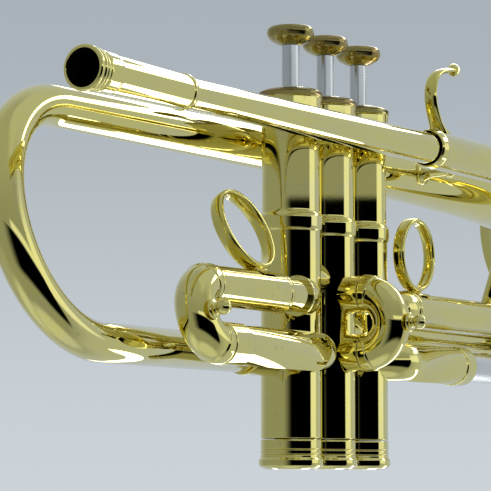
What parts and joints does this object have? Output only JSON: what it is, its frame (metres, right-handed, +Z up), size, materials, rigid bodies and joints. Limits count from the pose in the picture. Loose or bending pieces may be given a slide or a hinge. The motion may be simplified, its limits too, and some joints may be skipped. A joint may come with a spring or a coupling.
{
  "type": "valve trumpet",
  "caption": "Lacquered brass valve trumpet with a leadpipe, tuning slide, valve slides with finger rings and a flared bell.",
  "frame": {"origin": "centre of the underside of the second valve's bottom cap, on that valve's axis", "axes": "+X forward along the tubes to the bell, +Y to the player's left, +Z up along the valves to the finger buttons"},
  "size_m": [0.4763, 0.1222, 0.1723],
  "materials": {
    "lacquered_brass": "polished and clear-lacquered",
    "nickel": "bright nickel",
    "steel": "drawn wire",
    "felt": "pressed felt",
    "cork": "cut cork"
  },
  "bodies": {
    "horn": {"bell": "lacquered_brass", "bell_tail_ferrule": "lacquered_brass", "bottom_cap_1": "lacquered_brass", "bottom_cap_2": "lacquered_brass", "bottom_cap_3": "lacquered_brass", "finger_hook": "lacquered_brass", "first_slide_lower_outer_tube": "lacquered_brass", "first_slide_upper_fixed_tube": "lacquered_brass", "front_bell_brace": "lacquered_brass", "leadpipe": "lacquered_brass", "mouthpiece_receiver": "lacquered_brass", "rear_bell_brace": "lacquered_brass", "second_slide_lower_outer_tube": "lacquered_brass", "second_slide_upper_outer_tube": "lacquered_brass", "third_slide_lower_outer_tube": "lacquered_brass", "third_slide_upper_fixed_tube": "lacquered_brass", "top_cap_1": "lacquered_brass", "top_cap_2": "lacquered_brass", "top_cap_3": "lacquered_brass", "tuning_slide_lower_outer_tube": "lacquered_brass", "tuning_slide_tube_brace": "lacquered_brass", "tuning_slide_upper_outer_tube": "lacquered_brass", "valve_casing_1": "lacquered_brass", "valve_casing_2": "lacquered_brass", "valve_casing_3": "lacquered_brass", "valve_link_1_2": "lacquered_brass", "valve_link_2_3": "lacquered_brass", "valve_spring_1": "steel", "valve_spring_2": "steel", "valve_spring_3": "steel"},
    "valve_1": {"piston_1": "nickel", "valve_stem_1": "nickel", "stem_felt_1": "felt", "finger_button_1": "lacquered_brass"},
    "valve_2": {"piston_2": "nickel", "valve_stem_2": "nickel", "stem_felt_2": "felt", "finger_button_2": "lacquered_brass"},
    "valve_3": {"piston_3": "nickel", "valve_stem_3": "nickel", "stem_felt_3": "felt", "finger_button_3": "lacquered_brass"},
    "first_slide": {"first_slide_crook": "lacquered_brass", "first_slide_upper_sleeve": "lacquered_brass", "first_slide_lower_inner_tube": "nickel", "first_slide_knob": "lacquered_brass", "first_slide_thumb_ring": "lacquered_brass"},
    "second_slide": {"second_slide": "lacquered_brass", "second_slide_knob": "lacquered_brass"},
    "third_slide": {"third_slide_crook": "lacquered_brass", "third_slide_upper_sleeve": "lacquered_brass", "third_slide_lower_inner_tube": "nickel", "third_slide_finger_ring": "lacquered_brass"},
    "tuning_slide": {"tuning_slide_bow": "lacquered_brass", "tuning_slide_upper_inner_tube": "nickel", "tuning_slide_lower_inner_tube": "nickel", "water_key_pin": "steel"},
    "water_key": {"water_key_lever": "lacquered_brass", "water_key_cork": "cork"}
  },
  "joints": [
    {"name": "valve_1_stroke", "type": "slide", "parent": "horn", "child": "valve_1", "axis": [0, 0, -1], "range_m": [0, 0.0135], "stiffness_N_per_m": 120, "springref_m": -0.02, "deforming": ["valve_spring_1"]},
    {"name": "valve_2_stroke", "type": "slide", "parent": "horn", "child": "valve_2", "axis": [0, 0, -1], "range_m": [0, 0.0135], "stiffness_N_per_m": 120, "springref_m": -0.02, "deforming": ["valve_spring_2"]},
    {"name": "valve_3_stroke", "type": "slide", "parent": "horn", "child": "valve_3", "axis": [0, 0, -1], "range_m": [0, 0.0135], "stiffness_N_per_m": 120, "springref_m": -0.02, "deforming": ["valve_spring_3"]},
    {"name": "first_slide_pull", "type": "slide", "parent": "horn", "child": "first_slide", "axis": [-1, 0, 0], "range_m": [0, 0.02]},
    {"name": "second_slide_pull", "type": "slide", "parent": "horn", "child": "second_slide", "axis": [0, -1, 0], "range_m": [0, 0.012]},
    {"name": "third_slide_pull", "type": "slide", "parent": "horn", "child": "third_slide", "axis": [1, 0, 0], "range_m": [0, 0.025]},
    {"name": "tuning_slide_pull", "type": "slide", "parent": "horn", "child": "tuning_slide", "axis": [1, 0, 0], "range_m": [0, 0.03]},
    {"name": "water_key_hinge", "type": "hinge", "parent": "tuning_slide", "child": "water_key", "pos_m": [0.15, 0.002, 0.0357], "axis": [0, 1, 0], "range_deg": [0, 12], "stiffness_Nm_per_rad": 0.05, "springref_deg": -17.19}
  ]
}
